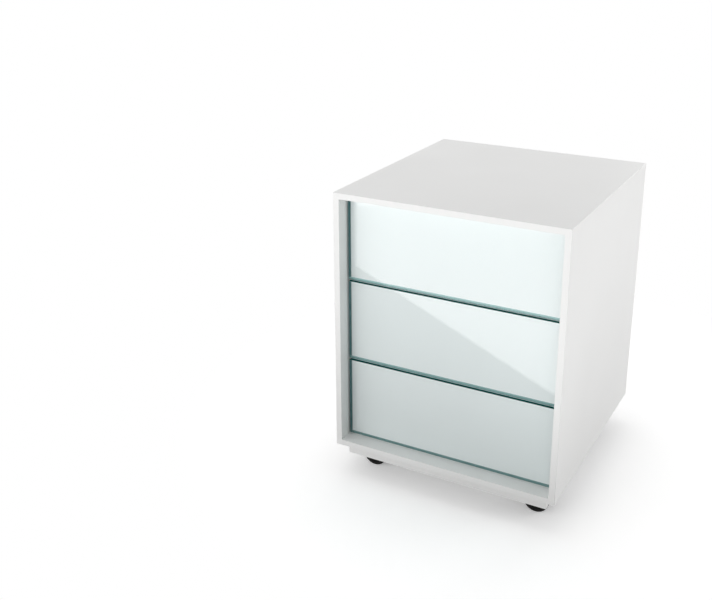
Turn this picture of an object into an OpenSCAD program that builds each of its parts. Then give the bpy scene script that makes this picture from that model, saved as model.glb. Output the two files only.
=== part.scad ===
// Mobile chest of three handle-less drawers: a lacquered board carcass, thick glass
// drawer fronts set back in its open frame, telescopic runners, push latches and twin-wheel castors.
// Front faces -Y, +Z is up, and the origin is on the floor under the middle of the carcass.

/* [Carcass] */
// Width of the carcass across the front
carcass_w = 450; // [380:1:600]
// Depth of the carcass from its front edge to its back edge
carcass_d = 480; // [462:1:600]
// Height of the carcass without its castors
carcass_h = 520; // [460:1:700]
// Thickness of the top, bottom and side panels
panel_t = 12; // [11:0.5:18]
// Chamfer along the outer edges of the carcass
edge_ease = 0.8; // [0.3:0.1:2]
// Thickness of the back panel
back_t = 8; // [8:0.5:12]
// Distance of the back panel from the rear edges
back_inset = 10; // [6:0.5:18]
// Depth of the groove that holds the back panel
back_groove = 5; // [3:0.5:6]
// Diameter of the wooden dowels
dowel_d = 6; // [4:0.5:7]
// Length of the wooden dowels
dowel_l = 20; // [16:1:22]
// Part of a dowel that sits in the face of a panel
dowel_face = 5.5; // [4:0.5:6]
// Distance of the end dowels from the front and back edges
dowel_end = 60; // [30:1:100]

/* [Plinth] */
// Height of the plinth rails below the carcass
plinth_h = 22; // [16:1:26]
// Thickness of the plinth rails
plinth_t = 12; // [9:0.5:14]
// Setback of the front and back plinth rails from the carcass edges
plinth_setback = 16; // [4:1:16]
// Distance of the ends of these rails from the sides of the carcass
plinth_end = 20; // [8:1:40]
// Clear gap between a turning castor and the side rails of the plinth
plinth_gap = 8; // [4:0.5:20]

/* [Drawer fronts] */
// Setback of the glass fronts from the front edge of the carcass
front_recess = 28; // [10:1:40]
// Thickness of the glass fronts
glass_t = 8; // [4:0.5:12]
// Gap above, below and between the glass fronts
glass_gap = 4; // [2:0.5:10]
// Gap between a glass front and the side panels
glass_side_gap = 3; // [1.5:0.5:8]
// Polished arris on the edges of the glass
glass_arris = 0.8; // [0.3:0.1:1.5]
// Thickness of the adhesive film behind the glass
bond_t = 0.3; // [0.2:0.1:0.9]
// Thickness of the board behind the glass
front_board_t = 12; // [10:0.5:19]
// Margin by which the board stays inside the edges of the glass
front_board_margin = 3; // [1:0.5:5]

/* [Drawer boxes] */
// Height of the drawer sides
side_h = 112; // [90:1:116]
// Thickness of the drawer sides and back
side_t = 12; // [12:0.5:16]
// Radius along the top edges of the drawer sides and back
side_round = 3; // [1:0.5:5]
// Height of the drawer box above the lower edge of its glass
box_raise = 14; // [10:1:24]
// Thickness of the drawer base
base_t = 6; // [4:0.5:8]
// Height of the base above the lower edge of the drawer sides
base_raise = 10; // [6:1:14]
// Depth of the grooves and housings that join the drawer box
housing = 4; // [2:0.5:6]
// Free depth behind the drawer box for the latches
rear_space = 44; // [40:1:70]

/* [Runners] */
// Length of the runner members, which is also the drawer travel
runner_l = 350; // [250:1:350]
// Height of the runner members
runner_h = 45; // [36:1:50]
// Width of a runner between the carcass side and the drawer side
runner_w = 13; // [12:0.5:16]
// Sheet thickness of the runner members
sheet_t = 1.2; // [1:0.1:1.5]
// Height of the runner lips
lip_h = 7; // [5:0.5:8]
// Running clearance between runner members
runner_play = 0.3; // [0.2:0.05:0.4]
// Distance of the runners from the board behind the glass
runner_setback = 2; // [1:0.5:12]
// Distance of the end screws from the runner ends
runner_screw_end = 32; // [15:1:60]

/* [Screws] */
// Shank diameter of the wood screws
screw_d = 3.5; // [2.5:0.1:4]
// Length of the wood screws under the head
screw_l = 10; // [8:0.5:10]
// Diameter of the pan heads
screw_head_d = 6.4; // [5:0.1:7]
// Height of the pan heads
screw_head_h = 1.4; // [0.8:0.1:1.8]

/* [Push latches] */
// Width of a latch housing
latch_w = 24; // [20:1:40]
// Height of a latch housing
latch_h = 16; // [14:1:30]
// Thickness of the latch mounting flange
latch_flange_t = 3; // [2.5:0.5:5]
// Width of the flange past each side of the housing
latch_ear = 11; // [9:1:16]
// Diameter of the plunger rod
plunger_d = 8; // [5:0.5:9]
// Diameter of the plunger head
plunger_head_d = 12; // [10:0.5:15]
// Thickness of the plunger head
plunger_head_t = 3; // [2:0.5:4]
// Length of the plunger rod inside the housing
plunger_reach = 22; // [15:1:23]
// Inward stroke that releases the latch
latch_stroke = 3; // [2:0.5:3.5]

/* [Castors] */
// Height of the castors from the floor to the carcass
castor_h = 64; // [62:0.5:90]
// Diameter of the wheels
wheel_d = 50; // [40:1:51]
// Width of one wheel
wheel_w = 16; // [12:0.5:18]
// Thickness of the hood web between the two wheels
web_t = 14; // [13.5:0.5:20]
// Gap between a wheel and the hood
wheel_gap = 1; // [0.5:0.1:1.5]
// Distance of the wheel axis behind the swivel axis
castor_trail = 22; // [18:0.5:26]
// Thickness of the hood over the wheels
hood_t = 2.2; // [1.5:0.1:3]
// Diameter of the hood boss round the stem
boss_d = 22; // [16:0.5:26]
// Diameter of the swivel stem
stem_d = 10; // [7:0.5:11]
// Length of the swivel stem below its plate
stem_l = 26; // [18:1:28]
// Side of the square mounting plate
plate_w = 42; // [38:1:60]
// Thickness of the mounting plate
plate_t = 2.5; // [2:0.5:4]
// Distance between the plate screws
plate_pitch = 30; // [26:1:31]
// Diameter of the thrust collar under the plate
collar_d = 18; // [14:0.5:22]
// Height of the thrust collar
collar_h = 1; // [0.6:0.1:1.5]
// Diameter of the wheel axle
axle_d = 8; // [5:0.5:9]
// Distance of the swivel axis from the side of the carcass
castor_x = 76; // [60:1:110]
// Distance of the swivel axis from the front or back of the carcass
castor_y = 83; // [82:1:120]

/* [Hidden] */
$fn = 64;
// Clearances: seats that don't move, pressed fits, running fits, and gaps that only stop contact
seat_play = 0.1;
press_play = 0.02;
run_play = 0.05;
rest_gap = 0.3;
// Extra length that lets a cutting tool pass through a face
cut = 1;

TIERS = ["bottom", "middle", "top"];
DRAWER_PIECES = ["glass", "front_board", "left_side", "right_side", "back", "base", "runners", "screws"];
CORNERS = ["front_left", "front_right", "rear_left", "rear_right"];
CASTOR_PIECES = ["hood", "wheels", "axle"];
tiers = [0 : len(TIERS) - 1];
corners = [0 : len(CORNERS) - 1];

// Carcass
front_y = -carcass_d / 2;
rear_y = carcass_d / 2;
side_x = carcass_w / 2;
base_z = castor_h;
floor_z = base_z + panel_t;
ceiling_z = base_z + carcass_h - panel_t;
inner_w = carcass_w - 2 * panel_t;
inner_h = carcass_h - 2 * panel_t;
back_y = rear_y - back_inset - back_t;
dowel_edge = dowel_l - dowel_face;
panel_dowel_ys = [front_y + dowel_end, 0, rear_y - dowel_end];

// Drawer fronts
glass_w = inner_w - 2 * glass_side_gap;
glass_h = (inner_h - (len(TIERS) + 1) * glass_gap) / len(TIERS);
glass_y = front_y + front_recess;
board_y = glass_y + glass_t + bond_t;
board_w = glass_w - 2 * front_board_margin;
board_h = glass_h - 2 * front_board_margin;
function glass_z(i) = floor_z + glass_gap + i * (glass_h + glass_gap);

// Drawer boxes
box_y = board_y + front_board_t;
box_end = back_y - rear_space;
box_w = inner_w - 2 * runner_w;
box_inner_w = box_w - 2 * side_t;
function box_z(i) = glass_z(i) + box_raise;
function box_mid_z(i) = box_z(i) + side_h / 2;
function base_top_z(i) = box_z(i) + base_raise + base_t;

// Runners
runner_y = box_y + runner_setback;
channel_w = (runner_w - 2 * runner_play) / 2;
head_t = channel_w - 2 * sheet_t - 2 * runner_play;
head_h = runner_h - 2 * sheet_t - 2 * runner_play;
neck_h = head_h - 2 * lip_h;
neck_web_t = 2;
bend_r = 1;
screw_lane_h = screw_head_d + 6;
runner_screw_ys = [for (f = [runner_screw_end, runner_l / 2, runner_l - runner_screw_end]) runner_y + f];

// Push latches
latch_front_y = box_end + rest_gap + plunger_head_t + latch_stroke + 1;
latch_l = back_y - latch_front_y;
latch_screw_x = latch_w / 2 + latch_ear / 2;
plunger_bore_l = plunger_reach + latch_stroke + 1;

// Castors
wheel_r = wheel_d / 2;
plate_z = base_z - plate_t;
hood_top_z = plate_z - collar_h - rest_gap;
hood_gap = 1.5;
pocket_r = wheel_r + hood_gap;
hood_r = pocket_r + hood_t;
hood_w = web_t + 2 * wheel_gap + 2 * wheel_w - 2;
hood_skirt_z = wheel_r + 4;
hub_r = axle_d / 2 + 4.5;
wheel_cap_t = 2.4;
wheel_dish = 1.4;
axle_l = web_t + 2 * (wheel_gap + wheel_w - wheel_dish - wheel_cap_t - seat_play);
plate_round = 4;
// Direction in which each castor trails at rest
castor_turns = [180, 0, 90, 90];
function corner_x(k) = (k % 2 == 0 ? -1 : 1) * (side_x - castor_x);
function corner_y(k) = (k < 2 ? -1 : 1) * (rear_y - castor_y);

// Plinth: cross rails in front and behind, and side rails between them that leave the castors room to turn
castor_swing = sqrt(pow(castor_trail + hood_r, 2) + pow(hood_w / 2, 2));
rail_w = carcass_w - 2 * plinth_end;
rail_d = carcass_d - 2 * plinth_setback - 2 * plinth_t;
rail_x = side_x - castor_x - castor_swing - plinth_gap - plinth_t / 2;
rail_y = rear_y - plinth_setback - plinth_t / 2;
rail_dowels = concat(
    [for (s = [-1, 1]) for (f = [-1, 0, 1]) [f * rail_w / 3, s * rail_y]],
    [for (s = [-1, 1]) for (f = [-1, 1]) [s * rail_x, f * rail_d / 4]]
);

// Shared shapes

function eased_outline(a, b, c) =
    [[c, 0], [a - c, 0], [a, c], [a, b - c], [a - c, b], [c, b], [0, b - c], [0, c]];

// Box from the origin with all its edges chamfered
module eased_box(size, ease) {
    intersection() {
        linear_extrude(size.z) polygon(eased_outline(size.x, size.y, ease));
        translate([0, size.y, 0]) rotate([90, 0, 0]) linear_extrude(size.y)
            polygon(eased_outline(size.x, size.z, ease));
        rotate([90, 0, 90]) linear_extrude(size.x) polygon(eased_outline(size.y, size.z, ease));
    }
}

// Outer form of the closed carcass, which eases the outer edges of every panel
module carcass_envelope() {
    translate([-side_x, front_y, base_z]) eased_box([carcass_w, carcass_d, carcass_h], edge_ease);
}

// Box centred on X, from a lower front corner given by y and z
module centred_x(size, y, z) {
    translate([-size.x / 2, y, z]) cube(size);
}

// Left and right copies of what is drawn on the +X side
module both_sides() {
    children();
    mirror([1, 0, 0]) children();
}

// Section in X and Z, drawn upright and swept back along Y from y
module sweep_y(y, length) {
    translate([0, y + length, 0]) rotate([90, 0, 0]) linear_extrude(length) children();
}

// Section in Y and Z, drawn upright and swept along X over a centred length
module sweep_x(length) {
    translate([-length / 2, 0, 0]) rotate([90, 0, 90]) linear_extrude(length) children();
}

// Board section with its two upper edges rounded
module rounded_top_section(w, h, r) {
    square([w, h - r]);
    translate([r, 0]) square([w - 2 * r, h]);
    for (x = [r, w - r]) translate([x, h - r]) circle(r);
}

// Centred rectangle with rounded corners
module rounded_rect(w, h, r) {
    square([w, h - 2 * r], center = true);
    square([w - 2 * r, h], center = true);
    for (x = [-1, 1]) for (y = [-1, 1]) translate([x * (w / 2 - r), y * (h / 2 - r)]) circle(r);
}

// Pan-head wood screw whose head bears on z = 0 and whose shank points down
module wood_screw() {
    rotate_extrude() {
        translate([0, -screw_l]) square([screw_d / 2, screw_l]);
        square([screw_head_d / 2 - screw_head_h / 2, screw_head_h]);
        square([screw_head_d / 2, screw_head_h / 2]);
        translate([screw_head_d / 2 - screw_head_h / 2, screw_head_h / 2]) circle(screw_head_h / 2);
    }
}

module screw_hole() {
    translate([0, 0, -screw_l - seat_play]) cylinder(d = screw_d + 2 * seat_play, h = screw_l + cut);
}

module dowel(play = 0) {
    translate([0, 0, -dowel_edge - play]) cylinder(d = dowel_d + 2 * play, h = dowel_l + 2 * play);
}

// Places of the upright dowels: the sides under the top, over the bottom, and the plinth rails
module at_top_dowels() {
    for (s = [-1, 1]) for (y = panel_dowel_ys)
        translate([s * (side_x - panel_t / 2), y, ceiling_z]) children();
}

module at_bottom_dowels() {
    for (s = [-1, 1]) for (y = panel_dowel_ys)
        translate([s * (side_x - panel_t / 2), y, floor_z]) mirror([0, 0, 1]) children();
}

module at_rail_dowels() {
    for (p = rail_dowels) translate([p.x, p.y, base_z]) children();
}

// Places of the screws, with -Z of each along its shank
module at_cabinet_runner_screws() {
    both_sides() for (i = tiers) for (y = runner_screw_ys)
        translate([inner_w / 2 - sheet_t, y, box_mid_z(i)]) rotate([0, -90, 0]) children();
}

module at_drawer_runner_screws(i) {
    both_sides() for (y = runner_screw_ys)
        translate([box_w / 2 + sheet_t, y, box_mid_z(i)]) rotate([0, 90, 0]) children();
}

module at_latch_screws() {
    both_sides() for (i = tiers)
        translate([latch_screw_x, back_y - latch_flange_t, box_mid_z(i)]) rotate([90, 0, 0]) children();
}

module at_castor(k) {
    translate([corner_x(k), corner_y(k), 0]) children();
}

module at_castor_screws() {
    for (k = corners) at_castor(k) for (x = [-1, 1]) for (y = [-1, 1])
        translate([x * plate_pitch / 2, y * plate_pitch / 2, plate_z]) mirror([0, 0, 1]) children();
}

// Groove in the panels round the back panel
module back_panel_groove() {
    centred_x([inner_w + 2 * back_groove, back_t + 2 * seat_play, inner_h + 2 * back_groove],
        back_y - seat_play, floor_z - back_groove);
}

// Carcass

module top_panel() {
    color("white") difference() {
        intersection() {
            carcass_envelope();
            centred_x([carcass_w, carcass_d, panel_t], front_y, ceiling_z);
        }
        back_panel_groove();
        at_top_dowels() dowel(seat_play);
    }
}

module bottom_panel() {
    color("white") difference() {
        intersection() {
            carcass_envelope();
            centred_x([carcass_w, carcass_d, panel_t], front_y, base_z);
        }
        back_panel_groove();
        at_bottom_dowels() dowel(seat_play);
        at_rail_dowels() dowel(seat_play);
        at_castor_screws() screw_hole();
    }
}

module side_panel(side) {
    color("white") difference() {
        intersection() {
            carcass_envelope();
            translate([side > 0 ? side_x - panel_t : -side_x, front_y, floor_z])
                cube([panel_t, carcass_d, inner_h]);
        }
        back_panel_groove();
        at_top_dowels() dowel(seat_play);
        at_bottom_dowels() dowel(seat_play);
        at_cabinet_runner_screws() screw_hole();
    }
}

module back_panel() {
    lap = back_groove - seat_play;
    color("white") difference() {
        centred_x([inner_w + 2 * lap, back_t, inner_h + 2 * lap], back_y, floor_z - lap);
        at_latch_screws() screw_hole();
    }
}

module carcass_dowels() {
    color("burlywood") {
        at_top_dowels() dowel();
        at_bottom_dowels() dowel();
        at_rail_dowels() dowel();
    }
}

// Plinth

module plinth_cross_rail(end) {
    color("whitesmoke") difference() {
        centred_x([rail_w, plinth_t, plinth_h], end * rail_y - plinth_t / 2, base_z - plinth_h);
        at_rail_dowels() dowel(seat_play);
    }
}

module plinth_side_rail(side) {
    color("whitesmoke") difference() {
        translate([side * rail_x - plinth_t / 2, -rail_d / 2, base_z - plinth_h])
            cube([plinth_t, rail_d, plinth_h]);
        at_rail_dowels() dowel(seat_play);
    }
}

// Runners: two channels face each other and a double-headed member slides in both

module channel_section() {
    translate([channel_w / 2, 0]) difference() {
        rounded_rect(channel_w, runner_h, sheet_t + bend_r);
        rounded_rect(channel_w - 2 * sheet_t, runner_h - 2 * sheet_t, bend_r);
        translate([channel_w / 2, 0])
            square([channel_w, runner_h - 2 * sheet_t - 2 * lip_h], center = true);
    }
}

module middle_section() {
    head_x = (runner_w - head_t) / 2 - sheet_t - runner_play;
    translate([runner_w / 2, 0]) difference() {
        union() {
            for (s = [-1, 1]) translate([s * head_x, 0]) rounded_rect(head_t, head_h, bend_r);
            square([2 * head_x, neck_h], center = true);
        }
        for (s = [-1, 1]) translate([s * (runner_w + neck_web_t) / 2, 0])
            square([runner_w, screw_lane_h], center = true);
    }
}

module cabinet_runners(i) {
    color("silver") difference() {
        both_sides() translate([inner_w / 2, 0, box_mid_z(i)])
            sweep_y(runner_y, runner_l) mirror([1, 0]) channel_section();
        at_cabinet_runner_screws() screw_hole();
    }
}

module middle_runners(i) {
    color("lightgray") both_sides() translate([box_w / 2, 0, box_mid_z(i)])
        sweep_y(runner_y, runner_l) middle_section();
}

module drawer_runners(i) {
    color("silver") difference() {
        both_sides() translate([box_w / 2, 0, box_mid_z(i)])
            sweep_y(runner_y, runner_l) channel_section();
        at_drawer_runner_screws(i) screw_hole();
    }
}

module cabinet_screws() {
    color("darkgray") {
        at_cabinet_runner_screws() wood_screw();
        at_latch_screws() wood_screw();
    }
}

// Drawers

module drawer_glass(i) {
    color([0.86, 0.94, 0.93]) translate([-glass_w / 2, glass_y, glass_z(i)])
        eased_box([glass_w, glass_t, glass_h], glass_arris);
}

// Groove in the box walls round the drawer base
module base_groove(i) {
    centred_x([box_inner_w + 2 * housing, box_end - box_y + housing + cut, base_t + 2 * seat_play],
        box_y - housing, base_top_z(i) - base_t - seat_play);
}

module drawer_side_blank(i) {
    translate([box_w / 2 - side_t, 0, box_z(i)]) sweep_y(box_y - housing, box_end - box_y + housing)
        rounded_top_section(side_t, side_h, side_round);
}

module drawer_front_board(i) {
    color("white") difference() {
        centred_x([board_w, front_board_t, board_h], board_y, glass_z(i) + front_board_margin);
        base_groove(i);
        both_sides() translate([box_w / 2 - side_t, box_y - housing, box_z(i)])
            cube([side_t, housing + cut, side_h]);
    }
}

module drawer_side(i, side) {
    color("whitesmoke") mirror([side > 0 ? 0 : 1, 0, 0]) difference() {
        drawer_side_blank(i);
        base_groove(i);
        translate([0, box_end - side_t - seat_play, base_top_z(i)])
            cube([box_inner_w / 2 + housing, side_t + seat_play + cut, side_h]);
        at_drawer_runner_screws(i) screw_hole();
    }
}

module drawer_back(i) {
    lap = housing - seat_play;
    color("whitesmoke") translate([0, box_end - side_t, base_top_z(i)]) sweep_x(box_inner_w + 2 * lap)
        rounded_top_section(side_t, side_h - base_raise - base_t, side_round);
}

module drawer_base(i) {
    lap = housing - seat_play;
    color("gainsboro") centred_x([box_inner_w + 2 * lap, box_end - box_y + lap, base_t],
        box_y - lap, base_top_z(i) - base_t);
}

module drawer_screws(i) {
    color("darkgray") at_drawer_runner_screws(i) wood_screw();
}

// Push latches

module latch_housings() {
    color("dimgray") difference() {
        for (i = tiers) {
            centred_x([latch_w, latch_l, latch_h], latch_front_y, box_mid_z(i) - latch_h / 2);
            centred_x([latch_w + 2 * latch_ear, latch_flange_t, latch_h],
                back_y - latch_flange_t, box_mid_z(i) - latch_h / 2);
        }
        for (i = tiers) translate([0, latch_front_y - cut, box_mid_z(i)]) rotate([-90, 0, 0])
            cylinder(d = plunger_d + 2 * rest_gap, h = plunger_bore_l + cut);
        at_latch_screws() screw_hole();
    }
}

module latch_plunger(i) {
    head_y = box_end + rest_gap;
    color("black") translate([0, head_y, box_mid_z(i)]) rotate([-90, 0, 0]) {
        cylinder(d = plunger_head_d, h = plunger_head_t);
        cylinder(d = plunger_d, h = latch_front_y - head_y + plunger_reach);
    }
}

// Castors

module castor_plates() {
    color("silver") difference() {
        for (k = corners) at_castor(k) {
            translate([0, 0, plate_z]) linear_extrude(plate_t) rounded_rect(plate_w, plate_w, plate_round);
            translate([0, 0, plate_z - collar_h]) cylinder(d = collar_d, h = collar_h);
            translate([0, 0, plate_z - stem_l]) cylinder(d = stem_d, h = stem_l);
        }
        at_castor_screws() screw_hole();
    }
}

module castor_screws() {
    color("darkgray") at_castor_screws() wood_screw();
}

// Castor as it trails at rest, with its swivel axis on Z and its wheel axis along Y at x = castor_trail
module resting_castor(k) {
    at_castor(k) rotate(castor_turns[k]) children();
}

module across(width) {
    translate([castor_trail, width / 2, wheel_r]) rotate([90, 0, 0]) linear_extrude(width) children();
}

module castor_hood(k) {
    color([0.09, 0.09, 0.1]) resting_castor(k) difference() {
        union() {
            intersection() {
                across(hood_w) circle(hood_r);
                translate([-hood_r, -hood_w, hood_skirt_z]) cube([4 * hood_r, 2 * hood_w, hood_top_z]);
            }
            across(web_t) circle(hub_r + 2);
            translate([castor_trail - hub_r - 2, -web_t / 2, wheel_r]) cube([2 * hub_r + 4, web_t, hood_r / 2]);
            translate([0, 0, hood_skirt_z]) cylinder(d = boss_d, h = hood_top_z - hood_skirt_z);
        }
        for (s = [-1, 1]) translate([castor_trail, s * (web_t / 2 + hood_w), wheel_r]) rotate([90, 0, 0])
            cylinder(r = pocket_r, h = 2 * hood_w, center = true);
        translate([0, 0, plate_z - stem_l - rest_gap]) cylinder(d = stem_d + 2 * run_play, h = stem_l + cut);
        across(web_t + 2 * cut) circle(d = axle_d + 2 * run_play);
    }
}

// Half section of a wheel: x from its axis, y from its inner face outwards
module wheel_section() {
    shoulder = 2;
    rim_r = wheel_r - 6;
    bore_r = axle_d / 2 + press_play;
    face_y = wheel_w - wheel_dish;
    translate([rim_r, 0]) square([wheel_r - shoulder - rim_r, wheel_w]);
    translate([rim_r, shoulder]) square([wheel_r - rim_r, wheel_w - 2 * shoulder]);
    for (y = [shoulder, wheel_w - shoulder]) translate([wheel_r - shoulder, y]) circle(shoulder);
    translate([bore_r, wheel_w / 2]) square([rim_r - bore_r, face_y - wheel_w / 2]);
    translate([bore_r, 0]) square([hub_r - bore_r, face_y]);
    translate([0, face_y - wheel_cap_t]) square([hub_r, wheel_cap_t]);
}

module castor_wheels(k) {
    color([0.12, 0.12, 0.13]) resting_castor(k) translate([castor_trail, 0, wheel_r])
        for (turn = [90, -90]) rotate([turn, 0, 0]) translate([0, 0, web_t / 2 + wheel_gap])
            rotate_extrude() wheel_section();
}

module castor_axle(k) {
    color("silver") resting_castor(k) across(axle_l) circle(d = axle_d);
}

top_panel();
bottom_panel();
side_panel(-1);  // left_side_panel
side_panel(1);  // right_side_panel
back_panel();
plinth_cross_rail(-1);  // plinth_front_rail
plinth_cross_rail(1);  // plinth_back_rail
plinth_side_rail(-1);  // plinth_left_rail
plinth_side_rail(1);  // plinth_right_rail
carcass_dowels();
cabinet_screws();
castor_screws();
latch_housings();
castor_plates();
for (i = tiers) {
    cabinet_runners(i);
    middle_runners(i);
    latch_plunger(i);
    drawer_glass(i);
    drawer_front_board(i);
    drawer_side(i, -1);
    drawer_side(i, 1);
    drawer_back(i);
    drawer_base(i);
    drawer_runners(i);
    drawer_screws(i);
}
for (k = corners) {
    castor_hood(k);
    castor_wheels(k);
    castor_axle(k);
}
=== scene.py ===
# %% [markdown]
# # A white chest with three glass drawer fronts
# The construction of the chest is already exact: panels, drawers, runners, latches and castors arrive
# as separate pieces in metres, standing on the floor with their front towards -Y. This lesson dresses
# them: a camera that sees what the photograph shows, a finish for every material, real screws, and
# studio light. Loading comes first, and the size of the bare chest is kept, because nothing added may
# outgrow it.

# %% Load the construction
import math

import bpy
from mathutils import Matrix, Vector


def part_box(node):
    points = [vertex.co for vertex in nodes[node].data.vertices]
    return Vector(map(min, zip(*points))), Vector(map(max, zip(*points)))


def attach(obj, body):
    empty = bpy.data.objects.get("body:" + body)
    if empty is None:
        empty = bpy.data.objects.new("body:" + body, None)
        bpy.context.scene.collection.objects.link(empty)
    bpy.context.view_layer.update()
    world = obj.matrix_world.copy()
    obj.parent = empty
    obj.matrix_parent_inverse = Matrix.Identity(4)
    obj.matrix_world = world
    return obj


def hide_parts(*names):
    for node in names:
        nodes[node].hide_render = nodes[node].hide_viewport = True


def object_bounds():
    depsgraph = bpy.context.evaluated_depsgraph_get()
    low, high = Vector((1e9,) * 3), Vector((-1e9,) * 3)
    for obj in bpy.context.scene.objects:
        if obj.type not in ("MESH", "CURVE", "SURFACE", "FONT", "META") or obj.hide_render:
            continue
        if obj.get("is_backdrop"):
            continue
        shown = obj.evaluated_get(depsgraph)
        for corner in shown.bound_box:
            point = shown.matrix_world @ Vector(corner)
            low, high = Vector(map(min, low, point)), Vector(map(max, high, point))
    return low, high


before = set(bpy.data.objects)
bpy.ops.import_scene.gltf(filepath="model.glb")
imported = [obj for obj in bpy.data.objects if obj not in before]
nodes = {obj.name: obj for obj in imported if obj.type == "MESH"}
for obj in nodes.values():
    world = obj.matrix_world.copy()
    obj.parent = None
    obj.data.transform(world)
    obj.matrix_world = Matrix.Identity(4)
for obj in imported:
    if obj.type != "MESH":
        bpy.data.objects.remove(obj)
bare_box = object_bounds()
MM = 0.001
TIERS = ("bottom", "middle", "top")
CORNERS = ("front_left", "front_right", "rear_left", "rear_right")
print("pieces:", len(nodes), "size in mm:", [round(v / MM) for v in bare_box[1] - bare_box[0]])

# %% [markdown]
# ## The camera
# The photograph looks a little from the right and down on the chest, and its upright edges lean
# together slowly towards the floor. A camera aimed at the middle of the chest would make them lean
# more, so the camera looks over the chest and its picture is slid down with the lens shift, as on a
# view camera. The corners of the chest in the photograph gave its place. They ask for a larger shift,
# but every other view keeps the shift too, and a larger one would push the chest out of those.

# %% Camera at its place in the photograph
PHOTO_W, PHOTO_H = 712, 600
SENSOR_W = 36.0
FOCAL_PX = 976.2
AXIS_PX = (377.8, 230.0)
CAMERA_AT = Vector((657.9, -1700.3, 1082.6)) * MM
CAMERA_TURN = math.radians(28.41)
CAMERA_TILT = math.radians(18.53)

camera_data = bpy.data.cameras.new("photo_camera")
camera_data.sensor_width = SENSOR_W
camera_data.lens = SENSOR_W * FOCAL_PX / PHOTO_W
camera_data.shift_x = (PHOTO_W / 2 - AXIS_PX[0]) / PHOTO_W
camera_data.shift_y = -(PHOTO_H / 2 - AXIS_PX[1]) / PHOTO_W
camera = bpy.data.objects.new("photo_camera", camera_data)
camera.location = CAMERA_AT
camera.rotation_euler = (math.pi / 2 - CAMERA_TILT, 0, CAMERA_TURN)
bpy.context.scene.collection.objects.link(camera)
bpy.context.scene.camera = camera
print("lens", round(camera_data.lens, 1), "mm, shift", round(camera_data.shift_y, 3))

# %% [markdown]
# ## Small tools for materials
# Colours are easiest to compare as the hex values a picture editor shows, but light adds up in linear
# numbers, so one function converts them along the sRGB curve. A second one adds a shader node and
# gives each of its inputs a value or a link, so that a finish reads as the list of its nodes. Where an
# input is given a whole node, it takes the first output that node uses. The node that mixes two
# colours has inputs for other kinds of values too, so its inputs go by number, and the numbers are
# named here. The Standard view transform shows a colour as it is written.

# %% Colour and node helpers
WHITE = "ffffff"
COLOURS = {"data_type": "RGBA"}
BY, FROM, TO = 0, 6, 7

bpy.context.scene.view_settings.view_transform = "Standard"


def linear(hex_colour):
    channels = [int(hex_colour[i : i + 2], 16) / 255 for i in (0, 2, 4)]
    return [c / 12.92 if c <= 0.04045 else ((c + 0.055) / 1.055) ** 2.4 for c in channels] + [1.0]


def add_node(owner, kind, settings):
    node = owner.node_tree.nodes.new("ShaderNode" + kind)
    for name, value in settings.items():
        if isinstance(value, bpy.types.Node):
            value = next(output for output in value.outputs if output.enabled)
        if isinstance(value, bpy.types.NodeSocket):
            owner.node_tree.links.new(value, node.inputs[name])
        elif isinstance(name, int) or name in node.inputs:
            node.inputs[name].default_value = value
        else:
            setattr(node, name, value)
    return node


print("middle grey as a linear value:", round(linear("808080")[0], 3))

# %% [markdown]
# Every finish starts as an empty material that reads Object coordinates, so its pattern has real sizes
# and moves with its piece. Noise gives most of the life a surface has: broad noise for clouds of tone
# and gloss, fine noise for grain, and noise squeezed along one direction for rolled or grown lines.
# Most of its values lie in a narrow band, which is stretched wherever noise drives the gloss.

# %% Starting a finish
NOISE_BAND = {"From Min": 0.3, "From Max": 0.7}


def new_material(name):
    material = bpy.data.materials.new(name)
    material.use_nodes = True
    material.node_tree.nodes.clear()
    return material, add_node(material, "TexCoord", {}).outputs["Object"]


def dress(material, *names):
    for name in names:
        nodes[name].data.materials.clear()
        nodes[name].data.materials.append(material)
    print(material.name, "on", len(names), "pieces")


print("noise is stretched from the band", list(NOISE_BAND.values()))

# %% [markdown]
# ## Satin white lacquer
# The panels are fibreboard, sprayed white and left satin. Sprayed lacquer is never quite flat: it
# dries with a faint orange peel, and hands and cloths polish it unevenly. A photographed texture could
# show that, but it would repeat. Here noise bumps the surface and a broad one shifts the roughness
# and, hardly visibly, the white, so the panels stay white and still catch the light like paint. Real
# peel is about 2.5 mm across, one pixel of the picture, so it is drawn twice as coarse.

# %% Satin lacquer on board
PEEL = 5 * MM
PEEL_DEPTH = 0.04 * MM
CLOUD = 140 * MM
POLISH = 0.04


def sprayed_white(name, light, dark, roughness):
    coat, place = new_material(name)
    cloud = add_node(coat, "TexNoise", {"Vector": place, "Scale": 1 / CLOUD, "Detail": 3.0})
    white = add_node(coat, "Mix", {**COLOURS, BY: cloud, FROM: linear(light), TO: linear(dark)})
    gloss = add_node(coat, "MapRange", {"Value": cloud, **NOISE_BAND,
                                        "To Min": roughness - POLISH, "To Max": roughness + POLISH})
    peel = add_node(coat, "TexNoise", {"Vector": place, "Scale": 1 / PEEL, "Detail": 1.0})
    relief = add_node(coat, "Bump", {"Height": peel, "Distance": PEEL_DEPTH, "Strength": 0.12})
    surface = add_node(coat, "BsdfPrincipled", {"Base Color": white, "Roughness": gloss, "IOR": 1.5,
                                                "Normal": relief})
    add_node(coat, "OutputMaterial", {"Surface": surface})
    return coat


carcass_lacquer = sprayed_white("satin_white_lacquer_on_fibreboard", "f3f3f2", "f0f0ef", roughness=0.38)
dress(carcass_lacquer, "top_panel", "bottom_panel", "left_side_panel", "right_side_panel", "back_panel",
      "plinth_front_rail", "plinth_back_rail", "plinth_left_rail", "plinth_right_rail")

# %% [markdown]
# ## The boards behind the glass
# Behind each pane lies a board painted white, which gives the front its colour. It could be the same
# lacquer as outside, but behind glass it looks a little cooler and flatter, so it gets its own, duller
# mix.

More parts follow.
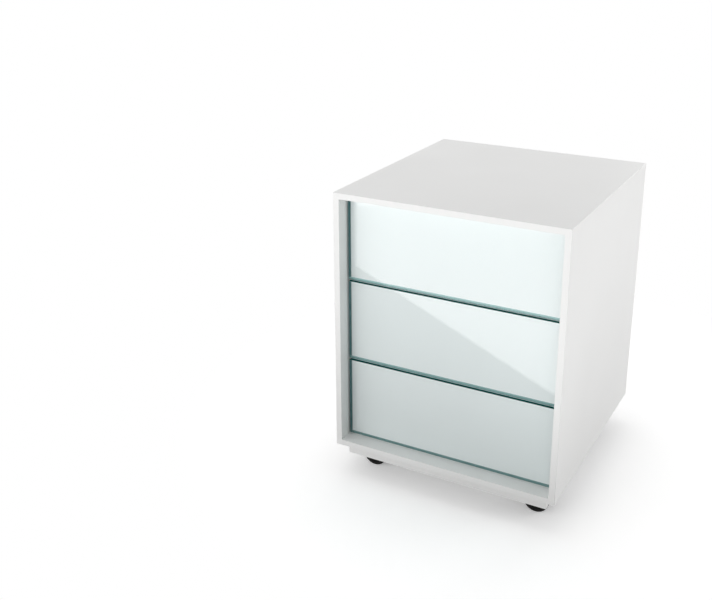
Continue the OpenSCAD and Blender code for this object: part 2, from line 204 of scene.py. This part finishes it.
# %% Lacquer behind the glass
front_lacquer = sprayed_white("dull_white_lacquer_behind_glass", "edefef", "eaecec", roughness=0.55)
dress(front_lacquer, *[f"{tier}_drawer_front_board" for tier in TIERS])

# %% [markdown]
# ## Float glass
# The fronts are thick panes of ordinary float glass with ground and polished edges. Iron in the glass
# takes a little red out of the light on every millimetre, which hardly shows through the face. A
# colour on the skin would tint every pane alike, whatever its thickness, so absorption inside the body
# does it.

# %% The body of the panes
GLASS_TINT = "bcf1ef"
GLASS_DENSITY = 6.0
pane_low, pane_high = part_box("bottom_drawer_glass")
PANE_T = pane_high.y - pane_low.y

float_glass, place = new_material("polished_float_glass")
body = add_node(float_glass, "BsdfPrincipled", {"Base Color": linear(WHITE), "Transmission Weight": 1.0,
                                                "Roughness": 0.0, "IOR": 1.52})
iron = add_node(float_glass, "VolumeAbsorption", {"Color": linear(GLASS_TINT),
                                                  "Density": GLASS_DENSITY})
red_kept = math.exp(-PANE_T * GLASS_DENSITY * (1 - linear(GLASS_TINT)[0]))
print("red light that passes", round(PANE_T / MM, 1), "mm of glass:", round(red_kept, 3))

# %% [markdown]
# The edge of a pane is what shows that it is glass: a deep green-blue line. There the eye meets light
# that the white board has scattered sideways and that has run a long way through the iron. Following
# that light needs more bounces than a picture can afford, so the rim, past the board and on the edge
# faces, is picked out by its place in the pane and that light, with the shade in the joints, is painted
# into its colour. Heights are counted from a little below each pane, so that rounding can't take its
# foot for its head.

# %% Where the rim is
PANE_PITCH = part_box("middle_drawer_glass")[0].z - pane_low.z
RIM_OVERLAP = 0.2 * MM
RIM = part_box("bottom_drawer_front_board")[0].z - pane_low.z + RIM_OVERLAP
BELOW = 0.9 * MM
FOOT_TO = BELOW + RIM
HEAD_FROM = BELOW + pane_high.z - pane_low.z - RIM
FACE_SKIN = 0.3 * MM
BEHIND_FACE = pane_low.y + FACE_SKIN

axes = add_node(float_glass, "SeparateXYZ", {"Vector": place}).outputs
raised = add_node(float_glass, "Math", {"operation": "SUBTRACT", 0: axes["Z"], 1: pane_low.z - BELOW})
in_pane = add_node(float_glass, "Math", {"operation": "MODULO", 0: raised, 1: PANE_PITCH})
foot = add_node(float_glass, "Math", {"operation": "LESS_THAN", 0: in_pane, 1: FOOT_TO})
head = add_node(float_glass, "Math", {"operation": "GREATER_THAN", 0: in_pane, 1: HEAD_FROM})
aside = add_node(float_glass, "Math", {"operation": "ABSOLUTE", 0: axes["X"]})
sides = add_node(float_glass, "Math", {"operation": "GREATER_THAN", 0: aside, 1: pane_high.x - RIM})
ends = add_node(float_glass, "Math", {"operation": "MAXIMUM", 0: head, 1: foot})
outline = add_node(float_glass, "Math", {"operation": "MAXIMUM", 0: sides, 1: ends})
inside = add_node(float_glass, "Math", {"operation": "GREATER_THAN", 0: axes["Y"], 1: BEHIND_FACE})
rim = add_node(float_glass, "Math", {"operation": "MULTIPLY", 0: outline, 1: inside})
print("the rim is", round(RIM / MM, 1), "mm wide and repeats every", round(PANE_PITCH / MM), "mm")

# %% [markdown]
# The painted rim light isn't one colour. The foot looks up and is painted paler, the more so the higher
# its pane hangs, as painted light. The head is painted nearly black in front, as painted shade where it
# looks down into the joint, and pale at the back, as painted light where the board lights it. The side
# ends are painted shade in between. One colour for all would be simpler, but the fine dark and pale
# lines along the joints are what the eye takes for polished glass.

# %% Painted light and shade on the rim
# Painted shade and light of the rim: the foot darker lower down, the head dark in front and pale at the
# back, the side ends dark
FOOT_PAINTED_SHADE, FOOT_PAINTED_LIGHT = "6b8e8e", "a4cdcc"
HEAD_PAINTED_SHADE, HEAD_PAINTED_LIGHT = "155450", "c8ecea"
SIDE_PAINTED_SHADE = "4d777b"
TURN_FROM, TURN_TO = pane_low.y + 6 * MM, pane_low.y + 7 * MM

height = add_node(float_glass, "MapRange", {"Value": axes["Z"], "From Min": pane_low.z,
                                            "From Max": len(TIERS) * PANE_PITCH})
painted_foot_shade_and_light = add_node(float_glass, "Mix", {**COLOURS, BY: height, FROM: linear(FOOT_PAINTED_SHADE),
                                            TO: linear(FOOT_PAINTED_LIGHT)})
inward = add_node(float_glass, "MapRange", {"Value": axes["Y"], "From Min": TURN_FROM,
                                            "From Max": TURN_TO})
painted_head_shade_and_light = add_node(float_glass, "Mix", {**COLOURS, BY: inward, FROM: linear(HEAD_PAINTED_SHADE),
                                            TO: linear(HEAD_PAINTED_LIGHT)})
upper = add_node(float_glass, "Mix", {**COLOURS, BY: head, FROM: linear(SIDE_PAINTED_SHADE), TO: painted_head_shade_and_light})
painted_rim_light_and_shade = add_node(float_glass, "Mix", {**COLOURS, BY: foot, FROM: upper, TO: painted_foot_shade_and_light})
# The rim's diffuse colour is painted light and shade standing in for light carried through the glass,
# not a colour of its own
rim_light = add_node(float_glass, "BsdfDiffuse", {"Color": painted_rim_light_and_shade})
print("rim colours from", HEAD_PAINTED_SHADE, "to", HEAD_PAINTED_LIGHT)

# %% [markdown]
# Light from the lamps would have to find its way through the glass by chance, which renders as noise.
# So rays that only ask how much light arrives go straight through, a little dimmed, and much dimmed
# through the polished ends. All other rays meet the real body with its rim of painted light and shade.

# %% Body, rim and the way for light
RIM_SHARE = 0.95
CLEAR_WAY, END_WAY = "fcfdfd", "4a6664"

share = add_node(float_glass, "Math", {"operation": "MULTIPLY", 0: rim, 1: RIM_SHARE})
edged = add_node(float_glass, "MixShader", {0: share, 1: body, 2: rim_light})
dimmed = add_node(float_glass, "Math", {"operation": "MULTIPLY", 0: sides, 1: share})
way_colour = add_node(float_glass, "Mix", {**COLOURS, BY: dimmed, FROM: linear(CLEAR_WAY),
                                           TO: linear(END_WAY)})
light_way = add_node(float_glass, "BsdfTransparent", {"Color": way_colour})
rays = add_node(float_glass, "LightPath", {}).outputs
asking = add_node(float_glass, "Math", {"operation": "MAXIMUM", 0: rays["Is Shadow Ray"],
                                        1: rays["Is Diffuse Ray"]})
lit_pane = add_node(float_glass, "MixShader", {0: asking, 1: edged, 2: light_way})
add_node(float_glass, "OutputMaterial", {"Surface": lit_pane, "Volume": iron})
dress(float_glass, *[f"{tier}_drawer_glass" for tier in TIERS])

# %% [markdown]
# ## Foil on the drawer boxes
# The sides, back and base of a drawer are thin board wrapped in white foil. Foil is embossed with a
# pearl grain so that it doesn't show finger marks: dull, and finely dimpled. A cell pattern would give
# dimples too, but noise looks the same at arm's length and renders faster. A real pearl is a third of
# a millimetre, too fine to show, so it is drawn as coarse as 2 mm.

# %% Matt foil
PEARL = 2 * MM
PEARL_DEPTH = 0.12 * MM
FOIL_LIGHT, FOIL_DARK = "efefed", "eaeae8"
FOIL_SMOOTH, FOIL_ROUGH = 0.5, 0.68
BOX_PIECES = ("left_side", "right_side", "back", "base")

foil, place = new_material("matt_white_foil_on_board")
cloud = add_node(foil, "TexNoise", {"Vector": place, "Scale": 1 / CLOUD})
white = add_node(foil, "Mix", {**COLOURS, BY: cloud, FROM: linear(FOIL_LIGHT), TO: linear(FOIL_DARK)})
pearl = add_node(foil, "TexNoise", {"Vector": place, "Scale": 1 / PEARL, "Detail": 1.0})
gloss = add_node(foil, "MapRange", {"Value": pearl, **NOISE_BAND,
                                    "To Min": FOIL_SMOOTH, "To Max": FOIL_ROUGH})
relief = add_node(foil, "Bump", {"Height": pearl, "Distance": PEARL_DEPTH, "Strength": 0.3})
surface = add_node(foil, "BsdfPrincipled", {"Base Color": white, "Roughness": gloss, "IOR": 1.48,
                                            "Normal": relief})
add_node(foil, "OutputMaterial", {"Surface": surface})
dress(foil, *[f"{tier}_drawer_{piece}" for tier in TIERS for piece in BOX_PIECES])

# %% [markdown]
# ## Zinc-plated steel
# Runner channels are rolled from strip and then zinc-plated. The rolls leave fine lines along the
# strip, and the plating gives soft bluish and yellowish clouds. Both change the gloss more than the
# colour. The lines are noise squeezed along the direction of rolling, which for the runners is front
# to back. Real ones are a few tenths of a millimetre apart; they are drawn 1.5 mm wide, so that they
# show.

# %% Rolled and plated strip
ZINC_CLOUD = 9 * MM
ROLL_LINE = 1.5 * MM
ROLL_DEPTH = 0.03 * MM
CLOUD_GLOSS, LINE_GLOSS = 0.06, 0.05
ALONG_Y = (1, 0.01, 1)
NO_GRAIN = (1, 1, 1)
RUNNER_PIECES = ("cabinet_runners", "middle_runners", "drawer_runners")


def plated(name, light, dark, roughness, squeeze):
    zinc, place = new_material(name)
    cloud = add_node(zinc, "TexNoise", {"Vector": place, "Scale": 1 / ZINC_CLOUD, "Detail": 4.0})
    tone = add_node(zinc, "Mix", {**COLOURS, BY: cloud, FROM: linear(light), TO: linear(dark)})
    squeezed = add_node(zinc, "Mapping", {"Vector": place, "Scale": squeeze})
    lines = add_node(zinc, "TexNoise", {"Vector": squeezed, "Scale": 1 / ROLL_LINE})
    dull = add_node(zinc, "MapRange", {"Value": cloud, **NOISE_BAND,
                                       "To Min": roughness - CLOUD_GLOSS,
                                       "To Max": roughness + CLOUD_GLOSS})
    lined = add_node(zinc, "MapRange", {"Value": lines, **NOISE_BAND,
                                        "To Min": -LINE_GLOSS, "To Max": LINE_GLOSS})
    gloss = add_node(zinc, "Math", {"operation": "ADD", 0: dull, 1: lined})
    relief = add_node(zinc, "Bump", {"Height": lines, "Distance": ROLL_DEPTH, "Strength": 0.2})
    surface = add_node(zinc, "BsdfPrincipled", {"Base Color": tone, "Metallic": 1.0, "Roughness": gloss,
                                                "Normal": relief})
    add_node(zinc, "OutputMaterial", {"Surface": surface})
    return zinc


runner_zinc = plated("zinc_plated_runner_strip", "c9ccd0", "b6b7b4", roughness=0.34, squeeze=ALONG_Y)
dress(runner_zinc, *[f"{tier}_{piece}" for tier in TIERS for piece in RUNNER_PIECES])

# %% [markdown]
# The castor plates are pressed from thicker sheet and their axles are ground, so they get the same
# plating without a rolling direction, and a little darker, as tumbled parts come out of the bath.

# %% Tumbled castor steel
castor_zinc = plated("zinc_plated_castor_steel", "bfc2c4", "a3a6a9", roughness=0.36, squeeze=NO_GRAIN)
dress(castor_zinc, "castor_plates", *[f"{corner}_castor_axle" for corner in CORNERS])

# %% [markdown]
# ## Moulded plastic
# Castor hoods and wheels are black nylon, the latch housings grey and their plungers black. A mould is
# spark-eroded, so the parts come out with a fine, even grain that keeps them from shining. All of them
# gather a little dust and fine scuffs, a lighter, patchy film over the colour. Real grain is about
# half a millimetre; it is drawn 1.2 mm wide, so that it shows.

# %% Grained nylon and latch plastic
GRAIN = 1.2 * MM
GRAIN_DEPTH = 0.05 * MM
SCUFF = 5 * MM
GRAIN_GLOSS = 0.05
DUST, DUST_FILM = "8a8781", 0.02


def moulded(name, light, dark, roughness):
    plastic, place = new_material(name)
    grain = add_node(plastic, "TexNoise", {"Vector": place, "Scale": 1 / GRAIN})
    clean = add_node(plastic, "Mix", {**COLOURS, BY: grain, FROM: linear(dark), TO: linear(light)})
    scuffs = add_node(plastic, "TexNoise", {"Vector": place, "Scale": 1 / SCUFF, "Detail": 5.0})
    dust = add_node(plastic, "MapRange", {"Value": scuffs, **NOISE_BAND, "To Max": DUST_FILM})
    colour = add_node(plastic, "Mix", {**COLOURS, BY: dust, FROM: clean, TO: linear(DUST)})
    grained = add_node(plastic, "MapRange", {"Value": grain, **NOISE_BAND,
                                             "To Min": roughness - GRAIN_GLOSS,
                                             "To Max": roughness + GRAIN_GLOSS})
    gloss = add_node(plastic, "Math", {"operation": "ADD", 0: grained, 1: dust})
    relief = add_node(plastic, "Bump", {"Height": grain, "Distance": GRAIN_DEPTH, "Strength": 0.25})
    surface = add_node(plastic, "BsdfPrincipled", {"Base Color": colour, "Roughness": gloss, "IOR": 1.5,
                                                   "Specular IOR Level": 0.2, "Normal": relief})
    add_node(plastic, "OutputMaterial", {"Surface": surface})
    return plastic


wheel_nylon = moulded("black_scuffed_nylon", "171717", "101010", roughness=0.45)
dress(wheel_nylon, *[f"{corner}_castor_wheels" for corner in CORNERS])
hood_nylon = moulded("black_moulded_nylon", "1c1c1d", "141414", roughness=0.42)
dress(hood_nylon, *[f"{corner}_castor_hood" for corner in CORNERS])
latch_shell = moulded("grey_moulded_plastic", "6d7073", "63666a", roughness=0.5)
dress(latch_shell, "latch_housings")
plunger_plastic = moulded("black_moulded_plastic", "262626", "1c1c1c", roughness=0.4)
dress(plunger_plastic, *[f"{tier}_latch_plunger" for tier in TIERS])

# %% [markdown]
# ## Beech dowels
# Dowels hold the panels together and never show, but someone may take the chest apart. Turned beech
# has short, fine fibres along its length, so noise is squeezed along the dowels, which all stand
# upright.

# %% Turned beech
FIBRE = 0.8 * MM
ALONG_Z = (1, 1, 0.06)
BEECH_LIGHT, BEECH_DARK = "d9b98c", "b98f5f"
BEECH_SMOOTH, BEECH_ROUGH = 0.5, 0.7

beech, place = new_material("turned_beech")
squeezed = add_node(beech, "Mapping", {"Vector": place, "Scale": ALONG_Z})
fibre = add_node(beech, "TexNoise", {"Vector": squeezed, "Scale": 1 / FIBRE, "Detail": 3.0})
tone = add_node(beech, "Mix", {**COLOURS, BY: fibre, FROM: linear(BEECH_LIGHT), TO: linear(BEECH_DARK)})
gloss = add_node(beech, "MapRange", {"Value": fibre, **NOISE_BAND,
                                     "To Min": BEECH_SMOOTH, "To Max": BEECH_ROUGH})
surface = add_node(beech, "BsdfPrincipled", {"Base Color": tone, "Roughness": gloss, "IOR": 1.45})
add_node(beech, "OutputMaterial", {"Surface": surface})
dress(beech, "carcass_dowels")

# %% [markdown]
# ## Pan-head screws
# Short wood screws hold the runners, latches and castor plates. The construction has them as plain
# turned bodies; a real one has a rounded pan head with a cross recess and a thread that runs to a
# point. A screw is modelled once: a disc for the head, its lower face inset and drawn out ridge by
# ridge into the thread. A helix would be more exact, but the thread sits in the wood and closed ridges
# look the same.

# %% One screw, head first
HEAD_R, HEAD_H, HEAD_ROUND = 3.2 * MM, 1.4 * MM, 0.75 * MM
HEAD_SIDES, ROUND_STEPS = 24, 4
THREAD_R, CORE_R = 1.72 * MM, 1.2 * MM
SCREW_L, POINT_L = 10 * MM, 2.4 * MM
RIDGES = 7
POINT_SCALE = 0.08
UPRIGHT = 0.9


def pick_faces(mesh, wanted):
    for polygon in mesh.polygons:
        polygon.select = wanted(polygon)


def draw_out(length, scale):
    bpy.ops.mesh.extrude_region_move(TRANSFORM_OT_translate={"value": (0, 0, -length)})
    bpy.ops.transform.resize(value=(scale, scale, 1))


bpy.ops.object.select_all(action="DESELECT")
bpy.ops.mesh.primitive_cylinder_add(vertices=HEAD_SIDES, radius=HEAD_R, depth=HEAD_H,
                                    location=(0, 0, HEAD_H / 2))
bpy.ops.object.transform_apply(location=True)
screw = bpy.context.object
screw.name = "pan_head_screw"
pick_faces(screw.data, lambda face: face.normal.z > UPRIGHT)
bpy.ops.object.mode_set(mode="EDIT")
bpy.ops.mesh.select_mode(type="FACE")
bpy.ops.mesh.bevel(offset=HEAD_ROUND, segments=ROUND_STEPS, affect="EDGES")
bpy.ops.object.mode_set(mode="OBJECT")
pick_faces(screw.data, lambda face: face.normal.z < -UPRIGHT)
bpy.ops.object.mode_set(mode="EDIT")
bpy.ops.mesh.inset(thickness=HEAD_R - CORE_R)
ridge_l = (SCREW_L - POINT_L) / RIDGES
for _ in range(RIDGES):
    draw_out(ridge_l / 2, THREAD_R / CORE_R)
    draw_out(ridge_l / 2, CORE_R / THREAD_R)
draw_out(POINT_L, POINT_SCALE)
bpy.ops.object.mode_set(mode="OBJECT")
print("screw faces:", len(screw.data.polygons), "length in mm:", round(screw.dimensions.z / MM, 2))

# %% [markdown]
# The cross recess is sunk by a punch, and that is also the easiest way here: two crossed bars, tapered
# downwards, are taken out of the head with a Boolean modifier.

# %% The cross recess
RECESS_L, RECESS_W, RECESS_DEPTH = 3.4 * MM, 0.75 * MM, 1.0 * MM
RECESS_TAPER = 0.6

for turn in (0, math.pi / 2):
    bpy.ops.object.select_all(action="DESELECT")
    bpy.ops.mesh.primitive_cube_add(size=1, location=(0, 0, HEAD_H), rotation=(0, 0, turn))
    punch = bpy.context.object
    punch.scale = (RECESS_L, RECESS_W, 2 * RECESS_DEPTH)
    pick_faces(punch.data, lambda face: face.normal.z < -UPRIGHT)
    bpy.ops.object.mode_set(mode="EDIT")
    bpy.ops.transform.resize(value=(RECESS_TAPER, RECESS_TAPER, 1))
    bpy.ops.object.mode_set(mode="OBJECT")
    sink = screw.modifiers.new("recess", "BOOLEAN")
    sink.object = punch
    bpy.context.view_layer.objects.active = screw
    bpy.ops.object.modifier_apply(modifier=sink.name)
    bpy.data.objects.remove(punch)
print("screw faces with its recess:", len(screw.data.polygons))

# %% [markdown]
# Each set of screws in the construction says where its screws belong. A copy of the set is merged and
# taken apart into single screws; the long side of each one's box is its axis, and its widest points
# are the head.

# %% Where the screws sit
SCREW_SETS = {"cabinet_screws": "cabinet", "castor_screws": "cabinet",
              **{f"{tier}_drawer_screws": f"{tier}_drawer" for tier in TIERS}}
SAME_POINT = 0.001 * MM


def screw_places(node):
    bpy.ops.object.select_all(action="DESELECT")
    blank = bpy.data.objects.new("screw_blanks", nodes[node].data.copy())
    bpy.context.scene.collection.objects.link(blank)
    blank.select_set(True)
    bpy.context.view_layer.objects.active = blank
    bpy.ops.object.mode_set(mode="EDIT")
    bpy.ops.mesh.select_all(action="SELECT")
    bpy.ops.mesh.remove_doubles(threshold=SAME_POINT)
    bpy.ops.mesh.separate(type="LOOSE")
    bpy.ops.object.mode_set(mode="OBJECT")
    places = []
    for single in list(bpy.context.selected_objects):
        points = [v.co.copy() for v in single.data.vertices]
        low = Vector([min(p[i] for p in points) for i in range(3)])
        high = Vector([max(p[i] for p in points) for i in range(3)])
        middle = (low + high) / 2
        axis = max(range(3), key=lambda i: high[i] - low[i])
        across = Vector([float(i != axis) for i in range(3)])
        widest = max(points, key=lambda p: ((p - middle) * across).length)
        outward = Vector((0, 0, 0))
        outward[axis] = 1.0 if widest[axis] > middle[axis] else -1.0
        tip = middle - outward * (high[axis] - low[axis]) / 2
        places.append((tip + outward * SCREW_L, outward))
        bpy.data.objects.remove(single)
    return places


seats = {node: screw_places(node) for node in SCREW_SETS}
print("screws in each set:", [len(places) for places in seats.values()])

# %% [markdown]
# Screws come from the same bath as the runners but are yellower and a little darker, so they have a
# finish of their own. Every screw is a copy with its own mesh, turned as far as a hand happened to
# drive it. Each set replaces the plain set and rides on the body that it is driven into.

# %% Driving the screws
TURN_STEP = 2.4
SMOOTH_BELOW = math.radians(35)

screw_zinc = plated("zinc_plated_screw_steel", "c6c4ba", "aaa89d", roughness=0.3, squeeze=NO_GRAIN)
for node, body_name in SCREW_SETS.items():
    driven = []
    for number, (seat, outward) in enumerate(seats[node]):
        mesh = screw.data.copy()
        upright = outward.to_track_quat("Z", "Y").to_matrix().to_4x4()
        mesh.transform(Matrix.Translation(seat) @ upright @ Matrix.Rotation(number * TURN_STEP, 4, "Z"))
        driven.append(bpy.data.objects.new(f"{node}_cross_head", mesh))
        bpy.context.scene.collection.objects.link(driven[-1])
    bpy.ops.object.select_all(action="DESELECT")
    for single in driven:
        single.select_set(True)
    bpy.context.view_layer.objects.active = driven[0]
    bpy.ops.object.join()
    piece = bpy.context.object
    bpy.ops.object.shade_smooth_by_angle(angle=SMOOTH_BELOW)
    piece.data.materials.clear()
    piece.data.materials.append(screw_zinc)
    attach(piece, body_name)
    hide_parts(node)
    print(piece.name, "screws:", len(driven), "faces:", len(piece.data.polygons))
bpy.data.objects.remove(screw)

# %% [markdown]
# ## The table
# The chest stands on a white table that the picture shows as plain white with a soft shadow. The glass
# fronts mirror that table, and its front edge, just outside the picture: that is the slanting line
# across the fronts. A painted line would stay put when a drawer opens, so a plane is cut off at that
# edge and the glass does the rest.

# %% Table with a straight front edge
TABLE_EDGE = 620 * MM
EDGE_TURN = 0.066
TABLE_REACH = 8
view_ahead = Vector((-math.sin(CAMERA_TURN), math.cos(CAMERA_TURN), 0))
view_right = Vector((math.cos(CAMERA_TURN), math.sin(CAMERA_TURN), 0))

bpy.ops.object.select_all(action="DESELECT")
bpy.ops.mesh.primitive_plane_add(size=2 * TABLE_REACH)
table = bpy.context.object
table.name = "studio_table"
bpy.ops.object.mode_set(mode="EDIT")
bpy.ops.mesh.bisect(plane_co=-view_ahead * TABLE_EDGE, plane_no=view_ahead - view_right * EDGE_TURN,
                    clear_inner=True)
bpy.ops.object.mode_set(mode="OBJECT")
table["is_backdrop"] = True
print("table edge in front of the chest, mm:", round(TABLE_EDGE / MM))

# %% [markdown]
# The table is matt white. What is seen of it, straight or in the glass, glows a little, so that it
# reads as white without more light on the chest, and away from the chest it fades into the white room.
# Seen straight it glows less, which keeps the shadow near the chest. The fade is centred behind the
# chest, so that the table has faded before its front edge and the edge shows in the glass alone.

# %% White table
FADE_FROM, FADE_TO = 0.5, 0.8
FADE_SHIFT = 0.12
FADE_CENTRE = (view_ahead + view_right) * FADE_SHIFT
TABLE_GLOW, MIRROR_GLOW = 0.275, 0.33
TABLE_BOUNCE = "d0d0d0"

paper, place = new_material("matt_white_studio_table")
rays = add_node(paper, "LightPath", {}).outputs
mirrored = add_node(paper, "Math", {"operation": "MAXIMUM", 0: rays["Is Glossy Ray"],
                                    1: rays["Is Transmission Ray"]})
colour = add_node(paper, "Mix", {**COLOURS, BY: rays["Is Camera Ray"], FROM: linear(TABLE_BOUNCE),
                                 TO: linear(WHITE)})
matt = add_node(paper, "BsdfDiffuse", {"Color": colour})
straight = add_node(paper, "Math", {"operation": "MULTIPLY", 0: rays["Is Camera Ray"], 1: TABLE_GLOW})
in_glass = add_node(paper, "Math", {"operation": "MULTIPLY", 0: mirrored, 1: MIRROR_GLOW})
strength = add_node(paper, "Math", {"operation": "ADD", 0: straight, 1: in_glass})
glow = add_node(paper, "Emission", {"Strength": strength})
near = add_node(paper, "AddShader", {0: matt, 1: glow})
away = add_node(paper, "VectorMath", {"operation": "DISTANCE", 0: place, 1: FADE_CENTRE})
faded = add_node(paper, "MapRange", {"interpolation_type": "SMOOTHSTEP", "Value": away,
                                     "From Min": FADE_FROM, "From Max": FADE_TO})
gone = add_node(paper, "Math", {"operation": "MULTIPLY", 0: faded, 1: rays["Is Camera Ray"]})
far = add_node(paper, "Emission", {"Strength": 1.0})
surface = add_node(paper, "MixShader", {0: gone, 1: near, 2: far})
add_node(paper, "OutputMaterial", {"Surface": surface})
table.data.materials.append(paper)
print("the table fades between", FADE_FROM, "and", FADE_TO, "m from a place behind the chest")

# %% [markdown]
# ## The room
# The room is white all round. What the camera, a mirror or the glass sees of it is pure white, and
# what lights the chest is less, so that white lacquer keeps its shading.

# %% White room
ROOM_LIGHT = 0.48

world = bpy.data.worlds.new("white_room")
world.use_nodes = True
world.node_tree.nodes.clear()
rays = add_node(world, "LightPath", {}).outputs
mirrored = add_node(world, "Math", {"operation": "MAXIMUM", 0: rays["Is Glossy Ray"],
                                    1: rays["Is Transmission Ray"]})
seen = add_node(world, "Math", {"operation": "MAXIMUM", 0: rays["Is Camera Ray"], 1: mirrored})
level = add_node(world, "MapRange", {"Value": seen, "To Min": ROOM_LIGHT, "To Max": 1.0})
room = add_node(world, "Background", {"Color": linear(WHITE), "Strength": level})
add_node(world, "OutputWorld", {"Surface": room})
bpy.context.scene.world = world
print("room light", ROOM_LIGHT)

# %% [markdown]
# ## Soft lights
# Softboxes give the shading in the photograph: one low at the front left for the fronts and the frame,
# one overhead for the top, one low at the right for the side, and a weak one behind, so that the
# shadow stays soft. The overhead one hangs a little to the left and the right one stays low, so that
# the shadow falls to the right. A low panel beyond the table edge is what the upper part of the fronts
# mirrors, and its light, coming over the edge, makes the top front brighter than the bottom one. Each
# lamp is set by the brightness that its face would show. The box in front is kept out of mirrors,
# where it would burn out the glass of an open drawer.

# %% Softboxes and the low panel
LIGHT_AIM = Vector((0, 0, 0.3))
# Name: place, width, depth, brightness
SOFTBOXES = {
    "overhead_softbox": ((-0.6, 0.25, 2.3), 2.0, 2.0, 0.84),
    "front_left_softbox": ((-1.1, -1.5, 0.45), 2.2, 0.8, 1.95),
    "right_softbox": ((2.2, 1.2, 0.65), 1.5, 1.1, 3.8),
    "back_softbox": ((0.4, 2.2, 1.7), 1.5, 1.5, 0.8),
}
PANEL_LEVEL = 1.55
PANEL_DROP, PANEL_DEPTH, PANEL_WIDTH = 0.7, 2.4, 6.0
PANEL_AWAY, PANEL_LEFT = 0.6, 1.0


def soft_light(name, at, width, depth, brightness):
    lamp = bpy.data.lights.new(name, "AREA")
    lamp.shape = "RECTANGLE"
    lamp.size = width
    lamp.size_y = depth
    lamp.energy = brightness * math.pi * width * depth
    holder = bpy.data.objects.new(name, lamp)
    holder.location = at
    holder.rotation_euler = (LIGHT_AIM - Vector(at)).to_track_quat("-Z", "Y").to_euler()
    holder.visible_camera = False
    bpy.context.scene.collection.objects.link(holder)
    print(name, round(lamp.energy, 1), "W")
    return holder


boxes = {name: soft_light(name, *settings) for name, settings in SOFTBOXES.items()}
boxes["front_left_softbox"].visible_glossy = False
panel_at = -view_ahead * (TABLE_EDGE + PANEL_AWAY + PANEL_DEPTH / 2) - view_right * PANEL_LEFT
panel_at.z = -PANEL_DROP
panel = soft_light("low_front_panel", panel_at, PANEL_WIDTH, PANEL_DEPTH, PANEL_LEVEL)
panel.rotation_euler = (math.pi, 0, CAMERA_TURN)

# %% [markdown]
# ## Check the size
# The dressed chest has to fill the same box as the bare one, so both boxes are measured and the growth
# is printed.

# %% Sizes
dressed_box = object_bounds()
growth = max((dressed_box[1] - dressed_box[0]) - (bare_box[1] - bare_box[0]))
print("growth of the box, mm:", round(growth / MM, 3))
